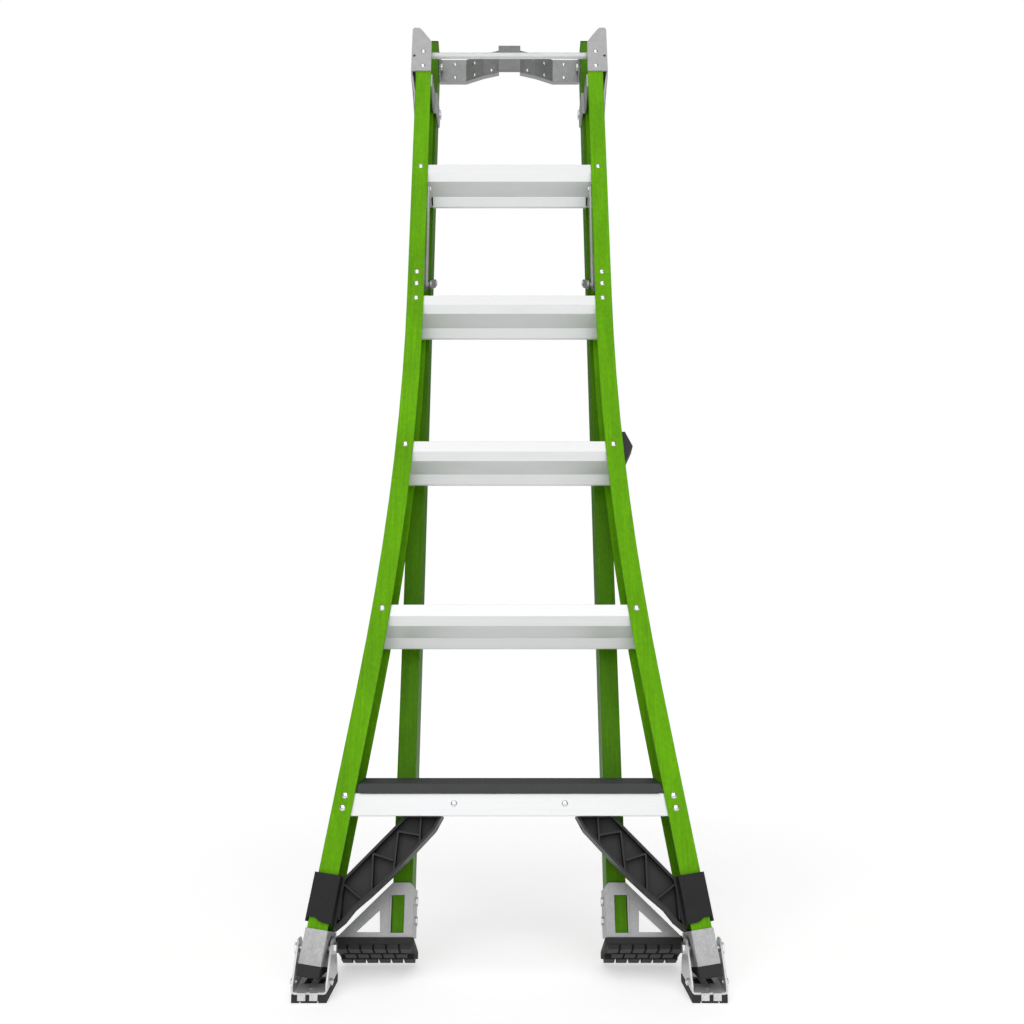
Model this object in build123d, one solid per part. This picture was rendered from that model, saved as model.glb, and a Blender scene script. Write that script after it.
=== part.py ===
from build123d import *
import math
import os

# Folding work ladder, stored folded and leaning against a wall.
# Every piece is drawn in the ladder's own frame and leaned over at the end:
# +X is to the climber's right, +Y runs from the climber to the wall, square to
# the rails, and +Z runs up the rails. Millimetres throughout.

# ---- stance
LEAN = 15.0                 # the rails lean this far from upright
SPREAD = 26.0               # the rear section swings out this far
GROUND = 11.0               # height of the floor in the ladder's leaned frame
STEP_PITCH = 304.8
FIT = 0.1                   # gap between pieces that are fastened together
RUN = 0.05                  # radial gap of a pin that turns in its hole

# ---- front rails: fibreglass channels, open inwards, flared at the bottom
RAIL_HALF = 193.0           # ladder centre to the outer face, upper part
RAIL_DEPTH = 89.0
RAIL_FLANGE = 31.0
RAIL_WALL = 4.8
RAIL_TOP = 1848.0
BEND_START = 1235.0
BEND_RADIUS = 4950.0
FLARE = 8.7
LOWER_RUN = 423.0           # straight flared length below the bend

# ---- rear rails: fibreglass channels, open outwards, straight
REAR_GAP = 11.0             # behind the front rails when folded
REAR_DEPTH = 75.0
REAR_FLANGE = 31.0
REAR_INNER = 157.0          # ladder centre to the inner face
REAR_TOP = 1955.0
REAR_BOTTOM = 112.0
REAR_WALL = 4.8

# ---- steps
STEP_COUNT = 5
STEP_WALL = 2.4
NOSE_HEIGHT = 20.0
STEP_DROP = 42.0            # nose foot to the bottom of the step
TREAD_GROOVE = 0.9
GROOVE_PITCH = 7.0
PLUG_LENGTH = 30.0
END_GAP = 0.7               # steps stop this short of the rails' webs
RUNG_RADIUS = 6.4
RUNG_BACK = 20.0            # rung axis behind the front of the rails
RUNG_HEIGHT = 1838.5
HORN_HOLE_HEIGHT = 1817.0
RUNG_WALL = 1.8
RUNG_RIB = 0.6

# ---- bottom step
APRON_LOW = 283.5
APRON_HEIGHT = 34.0
APRON_DEPTH = 7.0
BEAM_BACK = 80.0
BEAM_WALL = 2.5
PRESS_HALF = 239.7
PRESS_THICK = 5.0
PRESS_SKIRT = 14.5
PRESS_TRAVEL = 3.0
SPRING_HEIGHT = 10.0
SPRING_X = 150.0
APRON_BOLT_X = 87.5

# ---- top hinge
HINGE_Y = 137.0
HINGE_Z = 1785.0
PIN_RADIUS = 6.0
PLATE = 3.0
OUTER_PLATE_X = 200.0

# ---- folding stay between the sections
STAY_X = 157.5
STAY_THICK = 4.0
STAY_WIDTH = 16.0
STAY_TOP_Y = 12.0           # upper pivot, on the front rail
STAY_TOP_Z = 1490.0
STAY_DROP = 205.0           # folded elbow below and behind the upper pivot
STAY_BACK = 26.0
STAY_PIN = 3.5
STAY_ROOM = 2.0              # clear space round a swinging stay
SLOT_RISE = 2                # angles below level that the slot spans
SLOT_FALL = 100
SLOT_STEP = 7
SLOT_REACH = 230.0

# ---- lower end of the front rails
SLEEVE_FROM = 60.0          # distances along the rail from its end
SLEEVE_TO = 132.0
SLEEVE_WALL = 4.5
CAP_HEIGHT = 51.0
CAP_WALL = 1.7
END_PLUG = 18.0             # depth of the rubber end at the front
END_PLUG_BACK = 2.4
BRACE_FRONT = 22.0
BRACE_BACK = 66.0
BRACE_RIM = 4.0

# ---- swivel shoes
PIVOT_Z = 90.0
SHOE_INNER = 270.5
SHOE_OUTER = 322.0
SHOE_PLATE = 3.0
SHOE_HALF_LENGTH = 56.0
SHOE_PAD = 12.0
SHOE_BEND = 3.0              # inside radius of the bends
BOLT_RADIUS = 5.0

# ---- rear feet
FOOT_PLATE = 3.0
FOOT_TIP = 275.0
FOOT_LOW = 106.5
FOOT_HIGH = 189.7
FOOT_LENGTH = 112.0
FOOT_PAD = 10.0
FOOT_BLOCK = 8.0
PAD_ROWS = 3                 # tread blocks under a rear foot, every other row offset
PAD_COLUMNS = 6
PAD_ROW_GAP = 10.0
PAD_COLUMN_GAP = 3.5

# ---- wall rest
REST_Y = 146.0
REST_Z = 1927.0
REST_HEIGHT = 51.0
REST_FLANGE = 15.0
REST_SHEET = 3.0
REST_PIN = 5.0
REST_GAP = 23.0              # half width of the cut below the middle block
REST_RELIEF = 22.0

# ---- fasteners
RIVET_SHANK = 3.0
RIVET_HEAD = 5.0
RIVET_RISE = 1.8

# ---- worked out from the sizes above
flare = math.radians(FLARE)
lean = math.radians(LEAN)
spread = math.radians(SPREAD)
BEND_END = BEND_START - BEND_RADIUS * math.sin(flare)
END_X = RAIL_HALF + BEND_RADIUS * (1 - math.cos(flare)) + LOWER_RUN * math.sin(flare)
END_Z = BEND_END - LOWER_RUN * math.cos(flare)
REAR_FRONT = RAIL_DEPTH + REAR_GAP
REAR_BACK = REAR_FRONT + REAR_DEPTH
REAR_OUTER = REAR_INNER + REAR_FLANGE
SOLE_TILT = SPREAD - LEAN

pieces = {}


def block(x0, x1, y0, y1, z0, z1):
    centre = Pos((x0 + x1) / 2, (y0 + y1) / 2, (z0 + z1) / 2)
    return centre * Box(abs(x1 - x0), abs(y1 - y0), abs(z1 - z0))


def rod_x(radius, x0, x1, y, z):
    return Pos((x0 + x1) / 2, y, z) * Rot(0, 90, 0) * Cylinder(radius, abs(x1 - x0))


def rod_y(radius, y0, y1, x, z):
    return Pos(x, (y0 + y1) / 2, z) * Rot(90, 0, 0) * Cylinder(radius, abs(y1 - y0))


def rod_z(radius, x, y, z0, z1):
    return Pos(x, y, (z0 + z1) / 2) * Cylinder(radius, abs(z1 - z0))


def front_plate(points, y0, y1):
    """A flat outline of (x, z) points, thick from y0 to y1."""
    face = make_face(Polyline(*[(x, y0, z) for x, z in points], close=True))
    return extrude(face, amount=y1 - y0, dir=(0, 1, 0))


def side_plate(points, x0, x1):
    """A flat outline of (y, z) points, thick from x0 to x1."""
    face = make_face(Polyline(*[(x0, y, z) for y, z in points], close=True))
    return extrude(face, amount=x1 - x0, dir=(1, 0, 0))


def plan_plate(points, z0, z1):
    """A flat outline of (x, y) points, thick from z0 to z1."""
    face = make_face(Polyline(*[(x, y, z0) for x, y in points], close=True))
    return extrude(face, amount=z1 - z0, dir=(0, 0, 1))


def level(part, y, z):
    """Set a piece drawn level with the floor at (y, z) of the leaning ladder."""
    return Pos(0, y, z) * Rot(LEAN, 0, 0) * part


def along_foot(part):
    """Set a piece drawn upright at the flared end of the right rail."""
    return Pos(END_X, 0, END_Z) * Rot(0, -FLARE, 0) * part


def both(part):
    return [part, mirror(part, about=Plane.YZ)]


def pair(name, part):
    pieces[name + "_right"] = part
    pieces[name + "_left"] = mirror(part, about=Plane.YZ)


def group(solids):
    return Compound([s for part in solids for s in part.solids()])


def half_width(z):
    """Ladder centre to the outer face of a front rail at height z."""
    if z >= BEND_START:
        return RAIL_HALF
    if z >= BEND_END:
        return RAIL_HALF + BEND_RADIUS - math.sqrt(BEND_RADIUS**2 - (BEND_START - z) ** 2)
    return half_width(BEND_END) + (BEND_END - z) * math.tan(flare)


def rivet(x, y, z, length):
    """A rivet along +Y with its domed head in front of y."""
    head = Pos(x, y, z) * scale(Sphere(RIVET_HEAD), (1, RIVET_RISE / RIVET_HEAD, 1))
    head = head - block(x - 9, x + 9, y, y + 9, z - 9, z + 9)
    return head + rod_y(RIVET_SHANK, y, y + length, x, z)


def bolt_x(radius, x0, x1, y, z):
    """A bolt along X with a hexagon head past x0 and a nut past x1."""
    way = 1 if x1 > x0 else -1
    shank = rod_x(radius, x0, x1, y, z)
    for end, out in ((x0, -way), (x1, way)):
        hexagon = extrude(RegularPolygon(radius * 1.75, 6), amount=radius)
        shank += Pos(end, y, z) * Rot(0, 90 * out, 0) * hexagon
    return shank


# ---------------------------------------------------------------- front rails
def rail_edge(inset):
    """Points of a line down the right rail, inset from its outer face."""
    radius = BEND_RADIUS + inset
    centre_x = RAIL_HALF + BEND_RADIUS
    top = (RAIL_HALF - inset, RAIL_TOP)
    start = (RAIL_HALF - inset, BEND_START)
    middle = (
        centre_x - radius * math.cos(flare / 2),
        BEND_START - radius * math.sin(flare / 2),
    )
    end = (centre_x - radius * math.cos(flare), BEND_START - radius * math.sin(flare))
    foot = (end[0] + LOWER_RUN * math.sin(flare), end[1] - LOWER_RUN * math.cos(flare))
    return top, start, middle, end, foot


def rail_slab(inset0, inset1, y0, y1):
    """The strip of rail between two insets, thick from y0 to y1."""
    a = [Vector(x, y0, z) for x, z in rail_edge(inset0)]
    b = [Vector(x, y0, z) for x, z in rail_edge(inset1)]
    edges = [
        Line(a[0], a[1]),
        ThreePointArc(a[1], a[2], a[3]),
        Line(a[3], a[4]),
        Line(a[4], b[4]),
        Line(b[4], b[3]),
        ThreePointArc(b[3], b[2], b[1]),
        Line(b[1], b[0]),
        Line(b[0], a[0]),
    ]
    return extrude(make_face(edges), amount=y1 - y0, dir=(0, 1, 0))


RIVET_INSET = 17.0
STEP_RIVET_RISE = 13.0
STAY_RIVETS = (1264.0, 1290.0)
APRON_RIVETS = (295.0, 314.0)


def rail_rivets():
    """Places (x, z) of the rivets down the front of the right rail."""
    heights = [k * STEP_PITCH + STEP_RIVET_RISE for k in range(2, STEP_COUNT + 1)]
    heights += list(STAY_RIVETS) + list(APRON_RIVETS)
    return [(half_width(z) - RIVET_INSET, z) for z in heights]


def front_rail():
    rail = rail_slab(0, RAIL_WALL, 0, RAIL_DEPTH)
    rail += rail_slab(0, RAIL_FLANGE, 0, RAIL_WALL)
    rail += rail_slab(0, RAIL_FLANGE, RAIL_DEPTH - RAIL_WALL, RAIL_DEPTH)
    # the top is cut away so that the rear section can swing over it
    low = HINGE_Z - 4
    cut = [(RAIL_DEPTH + 1, low), (RAIL_DEPTH + 1, RAIL_TOP + 9), (45, RAIL_TOP + 9)]
    rail -= side_plate(cut, RAIL_HALF - RAIL_FLANGE - 1, RAIL_HALF + 1)
    for x, z in rail_rivets():
        rail -= rod_y(RIVET_SHANK + FIT, -1, RAIL_WALL + 1, x, z)
    for z in HORN_RIVETS:
        rail -= rod_y(RIVET_SHANK + FIT, -1, RAIL_WALL + 1, RAIL_HALF - 14, z)
    return rail


HORN_RIVETS = (1791.0, 1829.0)
pair("front_rail", front_rail())


# ---------------------------------------------------------------------- steps
STEP_FRONT = RAIL_WALL + FIT
STEP_BACK = RAIL_DEPTH - RAIL_WALL - FIT


def tread_height(y):
    """Rise of a level tread at depth y above its front edge."""
    return (y - STEP_FRONT) * math.tan(lean)


def step_outline(wall):
    """Section of a step, (y, z) from the foot of its nose, shrunk by wall."""
    f = STEP_FRONT + wall
    b = STEP_BACK - wall
    low = -STEP_DROP + wall
    return [
        (f, NOSE_HEIGHT - wall * 0.8),
        (f, wall * 0.25),
        (f + 8 - wall * 0.3, -15 + wall * 0.8),
        (f + 40 - wall * 0.4, -27 + wall * 0.84),
        (f + 52 - wall * 0.5, low),
        (f + 57 - wall * 1.4, low),
        (b, -22 + wall * 1.5),
        (b, NOSE_HEIGHT + tread_height(STEP_BACK) - wall * 1.3),
    ]


def step(k):
    foot = k * STEP_PITCH
    reach = half_width(foot - STEP_DROP) + 20
    body = side_plate(step_outline(0), -reach, reach)
    body -= side_plate(step_outline(STEP_WALL), -reach - 1, reach + 1)
    body = Pos(0, 0, foot) * body
    # grooves that roughen the tread
    width = (STEP_BACK - STEP_FRONT) / math.cos(lean)
    count = int((width - GROOVE_PITCH) / GROOVE_PITCH)
    for i in range(count):
        y = GROOVE_PITCH * (i + 0.9)
        groove = block(-reach, reach, y, y + 2.2, -TREAD_GROOVE, 2)
        body -= level(groove, STEP_FRONT, foot + NOSE_HEIGHT)
    # ends cut to follow the rails
    high = foot + 60
    low = foot - STEP_DROP - 5
    inside = RAIL_WALL + END_GAP
    ends = [
        (half_width(high) - inside, high),
        (half_width(low) - inside, low),
        (-half_width(low) + inside, low),
        (-half_width(high) + inside, high),
    ]
    body &= front_plate(ends, -5, RAIL_DEPTH + 5)
    for x, z in rail_rivets():
        if abs(z - foot) < STEP_DROP:
            body -= group(both(rod_y(RIVET_SHANK + FIT, -1, 12, x, z)))
    return body


def step_plug(k):
    """Cast end fitting inside the right end of a step."""
    foot = k * STEP_PITCH
    x1 = half_width(foot + 40) - RAIL_WALL - 1
    body = side_plate(step_outline(STEP_WALL + 3 * FIT), x1 - PLUG_LENGTH, x1)
    bolt = rod_x(8, x1 - PLUG_LENGTH - 1, x1 + 1, STEP_BACK - 28, 8)
    body = Pos(0, 0, foot) * (body - bolt)
    x, z = half_width(foot + STEP_RIVET_RISE) - RIVET_INSET, foot + STEP_RIVET_RISE
    return body - rod_y(RIVET_SHANK + FIT, -1, 24, x, z)


for k in range(2, STEP_COUNT + 1):
    pieces[f"step_{k}"] = step(k)

# the stays swing through slots near the ends of the top step
slot_arc = [(STAY_TOP_Y, STAY_TOP_Z + STAY_WIDTH / 2 + STAY_ROOM)]
for turn in range(-SLOT_RISE, -SLOT_FALL - 1, -SLOT_STEP):
    y = STAY_TOP_Y + SLOT_REACH * math.cos(math.radians(turn))
    z = STAY_TOP_Z + SLOT_REACH * math.sin(math.radians(turn))
    slot_arc.append((y, z))
slot_x0 = STAY_X - 2 * STAY_ROOM
slot_x1 = STAY_X + STAY_THICK + STAY_ROOM
slot = side_plate(slot_arc, slot_x0, slot_x1)
slot += rod_x(STAY_WIDTH / 2 + STAY_ROOM, slot_x0, slot_x1, STAY_TOP_Y, STAY_TOP_Z)
top_step = f"step_{STEP_COUNT}"
pieces[top_step] -= group(both(slot))

plugs = []
for k in range(2, STEP_COUNT + 1):
    plugs += [plug - pieces[f"step_{k}"] for plug in both(step_plug(k) - slot)]
pieces["step_end_fittings"] = group(plugs)

rung_end = RAIL_HALF - RAIL_WALL - FIT
rung = rod_x(RUNG_RADIUS, -rung_end, rung_end, RUNG_BACK, RUNG_HEIGHT)
rung -= rod_x(RUNG_RADIUS - RUNG_WALL, -rung_end - 1, rung_end + 1, RUNG_BACK, RUNG_HEIGHT)
for turn in range(0, 360, 30):
    y = RUNG_BACK + RUNG_RADIUS * math.cos(math.radians(turn))
    z = RUNG_HEIGHT + RUNG_RADIUS * math.sin(math.radians(turn))
    rung -= rod_x(RUNG_RIB, -rung_end - 1, rung_end + 1, y, z)
pieces["top_rung"] = rung


# ---------------------------------------------------------------- bottom step
def bottom_beam():
    """Closed box under the bottom tread, between the webs of the rails."""
    y0 = STEP_FRONT + APRON_DEPTH + FIT
    top = PRESS_TOP - PRESS_THICK - SPRING_HEIGHT
    outline = [
        (y0, APRON_LOW + 4),
        (y0, top + tread_height(y0)),
        (BEAM_BACK, top + tread_height(BEAM_BACK)),
        (BEAM_BACK, APRON_LOW + 18),
    ]
    w = BEAM_WALL
    hole = [
        (y0 + w, APRON_LOW + 4 + w * 1.3),
        (y0 + w, top + tread_height(y0 + w) - w * 1.1),
        (BEAM_BACK - w, top + tread_height(BEAM_BACK - w) - w * 1.1),
        (BEAM_BACK - w, APRON_LOW + 18 + w),
    ]
    reach = half_width(APRON_LOW)
    body = side_plate(outline, -reach, reach) - side_plate(hole, -reach - 1, reach + 1)
    body &= front_plate(end_cut(), -5, RAIL_DEPTH + 5)
    for x in (-APRON_BOLT_X, APRON_BOLT_X):
        body -= rod_y(RIVET_SHANK + FIT, 0, y0 + 6, x, APRON_BOLT_Z)
    return body


def end_cut():
    """Outline between the webs of the rails around the bottom step."""
    high = APRON_LOW + 80
    low = APRON_LOW - 20
    inside = RAIL_WALL + END_GAP
    return [
        (half_width(high) - inside, high),
        (half_width(low) - inside, low),
        (-half_width(low) + inside, low),
        (-half_width(high) + inside, high),
    ]


PRESS_TOP = APRON_LOW + APRON_HEIGHT + PRESS_SKIRT + 0.5
APRON_BOLT_Z = APRON_LOW + 18.5


def bottom_apron():
    reach = half_width(APRON_LOW)
    y0 = STEP_FRONT
    z0 = APRON_LOW
    z1 = APRON_LOW + APRON_HEIGHT
    body = block(-reach, reach, y0, y0 + APRON_DEPTH, z0, z1)
    body -= block(-reach - 1, reach + 1, y0 + 3, y0 + APRON_DEPTH + 1, z0 + 3, z1 - 3)
    body &= front_plate(end_cut(), -5, RAIL_DEPTH + 5)
    for x in (-APRON_BOLT_X, APRON_BOLT_X):
        boss = rod_y(7, y0 + 3, y0 + APRON_DEPTH, x, APRON_BOLT_Z)
        body += boss
        body -= rod_y(RIVET_SHANK + FIT, 0, y0 + APRON_DEPTH + 1, x, APRON_BOLT_Z)
    for x, z in rail_rivets():
        if z < PRESS_TOP:
            body -= group(both(rod_y(RIVET_SHANK + FIT, -1, 14, x, z)))
    return body


def bottom_tread():
    """Moulded tread cap that clicks down when it is stood on."""
    depth = (BEAM_BACK - STEP_FRONT) / math.cos(lean)
    plate = Box(2 * PRESS_HALF, depth, PRESS_THICK)
    plate = fillet(plate.edges().filter_by(Axis.Z), 6)
    plate = Pos(0, depth / 2, -PRESS_THICK / 2) * plate
    for i in range(9):
        y = 6 + i * (depth - 14) / 8
        plate -= block(-PRESS_HALF + 8, PRESS_HALF - 8, y, y + 2.4, -1.1, 1)
    body = level(plate, PRESS_FRONT, PRESS_TOP)
    skirt = block(-PRESS_HALF, PRESS_HALF, PRESS_FRONT, PRESS_FRONT + 4, 0, PRESS_SKIRT)
    skirt = fillet(skirt.edges().filter_by(Axis.Y), 5)
    body += Pos(0, 0, PRESS_TOP - PRESS_SKIRT) * skirt
    for x in (-SPRING_X, SPRING_X):
        seat = Pos(x, depth / 2, -PRESS_THICK - 1) * Cylinder(4, 2)
        body += level(seat, PRESS_FRONT, PRESS_TOP)
    return body


def tread_spring():
    """Coil spring between the beam and the tread cap, drawn from its foot."""
    wire = 0.9
    radius = 6.5
    height = SPRING_HEIGHT_LEVEL - 2 * wire - 2 * FIT
    path = Helix(pitch=height / 4, height=height, radius=radius)
    start = Plane(origin=path @ 0, z_dir=path % 0)
    coil = sweep(start * Circle(wire), path=path)
    return Pos(0, 0, wire + FIT) * coil


PRESS_FRONT = -0.5
PRESS_DEPTH = (BEAM_BACK - STEP_FRONT) / math.cos(lean)
# upright distance between the top of the beam and the underside of the cap
rise = (STEP_FRONT - PRESS_FRONT) * math.tan(lean)
SPRING_HEIGHT_LEVEL = (SPRING_HEIGHT + PRESS_THICK + rise) * math.cos(lean) - PRESS_THICK
pieces["bottom_beam"] = bottom_beam()
pieces["bottom_apron"] = bottom_apron()
pieces["bottom_tread"] = bottom_tread()

springs = []
for x in (-SPRING_X, SPRING_X):
    foot = Pos(x, PRESS_DEPTH / 2, -PRESS_THICK - SPRING_HEIGHT_LEVEL) * tread_spring()
    springs.append(level(foot, PRESS_FRONT, PRESS_TOP))
pieces["tread_springs"] = group(springs)

bolts = [rivet(x, STEP_FRONT, APRON_BOLT_Z, 14) for x in (-APRON_BOLT_X, APRON_BOLT_X)]
pieces["apron_bolts"] = group(bolts)


# ----------------------------------------------------------------- top hinge
def horn_plate():
    """Front of the top bracket, with its rounded horn."""
    inner = RAIL_HALF - RAIL_FLANGE - 0.5
    outer = OUTER_PLATE_X + PLATE
    outline = [
        (inner, HINGE_Z - 8),
        (inner + 1, HINGE_Z + 70),
        (inner + 22, HINGE_Z + 102),
        (inner + 27, HINGE_Z + 107),
        (outer - 4, HINGE_Z + 108),
        (outer, HINGE_Z + 103),
        (outer, HINGE_Z - 8),
    ]
    plate = front_plate(outline, -PLATE, 0)
    for z in HORN_RIVETS:
        plate -= rod_y(RIVET_SHANK + FIT, -PLATE - 1, 1, RAIL_HALF - 14, z)
    return plate - rod_y(3, -PLATE - 1, 1, OUTER_PLATE_X - 2.5, HORN_HOLE_HEIGHT)


def top_bracket():
    side = [
        (-PLATE, HINGE_Z - 8),
        (-PLATE, HINGE_Z + 80),
        (30, HINGE_Z + 80),
        (HINGE_Y + 22, HINGE_Z + 30),
        (HINGE_Y + 28, HINGE_Z),
        (HINGE_Y + 18, HINGE_Z - 24),
        (HINGE_Y - 40, HINGE_Z - 40),
    ]
    body = horn_plate() + side_plate(side, OUTER_PLATE_X, OUTER_PLATE_X + PLATE)
    # tail that runs in to the rail and is bolted to it
    x1 = OUTER_PLATE_X + PLATE
    tail = [
        (x1, HINGE_Z - 7),
        (OUTER_PLATE_X, HINGE_Z - 7),
        (RAIL_HALF, HINGE_Z - 60),
        (RAIL_HALF, HINGE_Z - 86),
        (RAIL_HALF + PLATE, HINGE_Z - 86),
        (RAIL_HALF + PLATE, HINGE_Z - 60),
        (x1, HINGE_Z - 20),
    ]
    body += front_plate(tail, 4, 40)
    body -= rod_x(PIN_RADIUS + RUN, 190, x1 + 1, HINGE_Y, HINGE_Z)
    body -= rod_x(RIVET_SHANK + FIT, RAIL_HALF - 1, x1, 22, HINGE_Z - 73)
    return body


def hinge_strap():
    """Inner hinge plate: along the front rail, then stepped in past the rear rail."""
    outline = [
        (1, HINGE_Z - 45),
        (1, HINGE_Z - 14),
        (HINGE_Y - 20, HINGE_Z + 20),
        (HINGE_Y + 12, HINGE_Z + 20),
        (HINGE_Y + 24, HINGE_Z + 6),
        (HINGE_Y + 24, HINGE_Z - 12),
        (HINGE_Y + 8, HINGE_Z - 28),
        (60, HINGE_Z - 50),
    ]
    x_out = RAIL_HALF - RAIL_FLANGE - FIT
    x_in = REAR_INNER - 1.0
    bend = RAIL_DEPTH - 6
    near = block(x_out - PLATE, x_out, 0, bend, 0, RAIL_TOP)
    step_in = block(x_in - PLATE, x_out, bend - PLATE, bend, 0, RAIL_TOP)
    far = block(x_in - PLATE, x_in, bend - PLATE, REAR_BACK, 0, RAIL_TOP)
    body = side_plate(outline, x_in - PLATE, x_out) & (near + step_in + far)
    return body - rod_x(PIN_RADIUS + RUN, 140, 170, HINGE_Y, HINGE_Z)


STRAP_X = REAR_INNER - 1.0 - PLATE


def hinge_pin():
    body = rod_x(PIN_RADIUS, STRAP_X - 1, OUTER_PLATE_X + PLATE + 1, HINGE_Y, HINGE_Z)
    body += rod_x(PIN_RADIUS + 4, STRAP_X - 4, STRAP_X - FIT, HINGE_Y, HINGE_Z)
    face = OUTER_PLATE_X + PLATE + FIT
    return body + rod_x(PIN_RADIUS + 4, face, face + 4, HINGE_Y, HINGE_Z)


def hinge_spacer():
    x0 = REAR_INNER + REAR_WALL + 0.5
    x1 = OUTER_PLATE_X - 0.5
    body = rod_x(PIN_RADIUS + 3, x0, x1, HINGE_Y, HINGE_Z)
    return body - rod_x(PIN_RADIUS + RUN, x0 - 1, x1 + 1, HINGE_Y, HINGE_Z)


pair("top_bracket", top_bracket())
pair("hinge_strap", hinge_strap())
pieces["hinge_pins"] = group(both(hinge_pin()))
pieces["hinge_spacers"] = group(both(hinge_spacer()))

rivets = [r for x, z in rail_rivets() for r in both(rivet(x, 0, z, 11.5))]
for z in HORN_RIVETS:
    rivets += both(rivet(RAIL_HALF - 14, -PLATE, z, PLATE + RAIL_WALL + 3))
tail_rivet = Rot(0, 0, 90) * rivet(0, 0, 0, 10)
rivets += both(Pos(RAIL_HALF + PLATE, 22, HINGE_Z - 73) * tail_rivet)
pieces["rail_rivets"] = group(rivets)

# the tail rivets pass through the rails
for side in ("right", "left"):
    sign = 1 if side == "right" else -1
    hole = rod_x(RIVET_SHANK + FIT, sign * 180, sign * 200, 22, HINGE_Z - 73)
    pieces["front_rail_" + side] -= hole


# ---------------------------------------------------------------- rear section
def rear_rail():
    x0, x1 = REAR_INNER, REAR_OUTER
    body = block(x0, x1, REAR_FRONT, REAR_BACK, REAR_BOTTOM, REAR_TOP)
    inner = (REAR_FRONT + REAR_WALL, REAR_BACK - REAR_WALL)
    body -= block(x0 + REAR_WALL, x1 + 1, *inner, REAR_BOTTOM - 1, REAR_TOP + 1)
    body -= rod_x(PIN_RADIUS + RUN, x0 - 1, x0 + REAR_WALL + 1, HINGE_Y, HINGE_Z)
    body -= rod_x(REST_PIN + RUN, x0 - 1, x0 + REAR_WALL + 1, REST_Y, REST_Z)
    body -= rod_x(STAY_PIN + RUN, x0 - 1, x0 + REAR_WALL + 1, HINGE_Y, STAY_REAR_Z)
    return body


def open_reach(drop):
    """Distance between the stay's end pivots when open, for a rear pivot this low."""
    y = HINGE_Y - STAY_TOP_Y + drop * math.sin(spread)
    z = HINGE_Z - STAY_TOP_Z - drop * math.cos(spread)
    return math.hypot(y, z)


def stay_rear_drop():
    """Drop of the rear pivot below the hinge that pulls both links straight."""
    front = math.hypot(STAY_BACK, STAY_DROP)
    low, high = HINGE_Z - STAY_TOP_Z, HINGE_Z - STAY_ELBOW[1]
    for _ in range(60):
        drop = (low + high) / 2
        rear = math.hypot(HINGE_Y - STAY_ELBOW[0], HINGE_Z - drop - STAY_ELBOW[1])
        if front + rear > open_reach(drop):
            low = drop
        else:
            high = drop
    return drop


STAY_ELBOW = (STAY_TOP_Y + STAY_BACK, STAY_TOP_Z - STAY_DROP)
STAY_REAR_Z = HINGE_Z - stay_rear_drop()

pair("rear_rail", rear_rail())

cap = block(REAR_INNER - 0.5, REAR_OUTER + 0.5, REAR_FRONT - 0.5, REAR_BACK + 0.5, 0, 3)
cap = fillet(cap.edges().filter_by(Axis.Z), 2)
spigot = block(
    REAR_INNER + REAR_WALL + FIT,
    REAR_OUTER - 2,
    REAR_FRONT + REAR_WALL + FIT,
    REAR_BACK - REAR_WALL - FIT,
    -14,
    0,
)
pieces["rear_top_caps"] = group(both(Pos(0, 0, REAR_TOP) * (cap + spigot)))

RUNG_RISE = 46.0
REAR_RUNG_Y = REAR_FRONT + 38.0
for k in range(2, STEP_COUNT + 1):
    z = k * STEP_PITCH + RUNG_RISE
    bar = block(-REAR_INNER + FIT, REAR_INNER - FIT, REAR_RUNG_Y - 15, REAR_RUNG_Y + 15, -11, 11)
    bar = fillet(bar.edges().filter_by(Axis.X), 7)
    hollow = block(-200, 200, REAR_RUNG_Y - 12.5, REAR_RUNG_Y + 12.5, -8.5, 8.5)
    hollow = fillet(hollow.edges().filter_by(Axis.X), 4.5)
    pieces[f"rear_rung_{k}"] = Pos(0, 0, z) * (bar - hollow)


# ------------------------------------------------------------------- rear feet
def sole(part):
    """Set a piece drawn level below the front bottom edge of a rear foot."""
    return Pos(0, REAR_FRONT - FOOT_PLATE - FIT, FOOT_LOW) * Rot(-SOLE_TILT, 0, 0) * part


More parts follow.
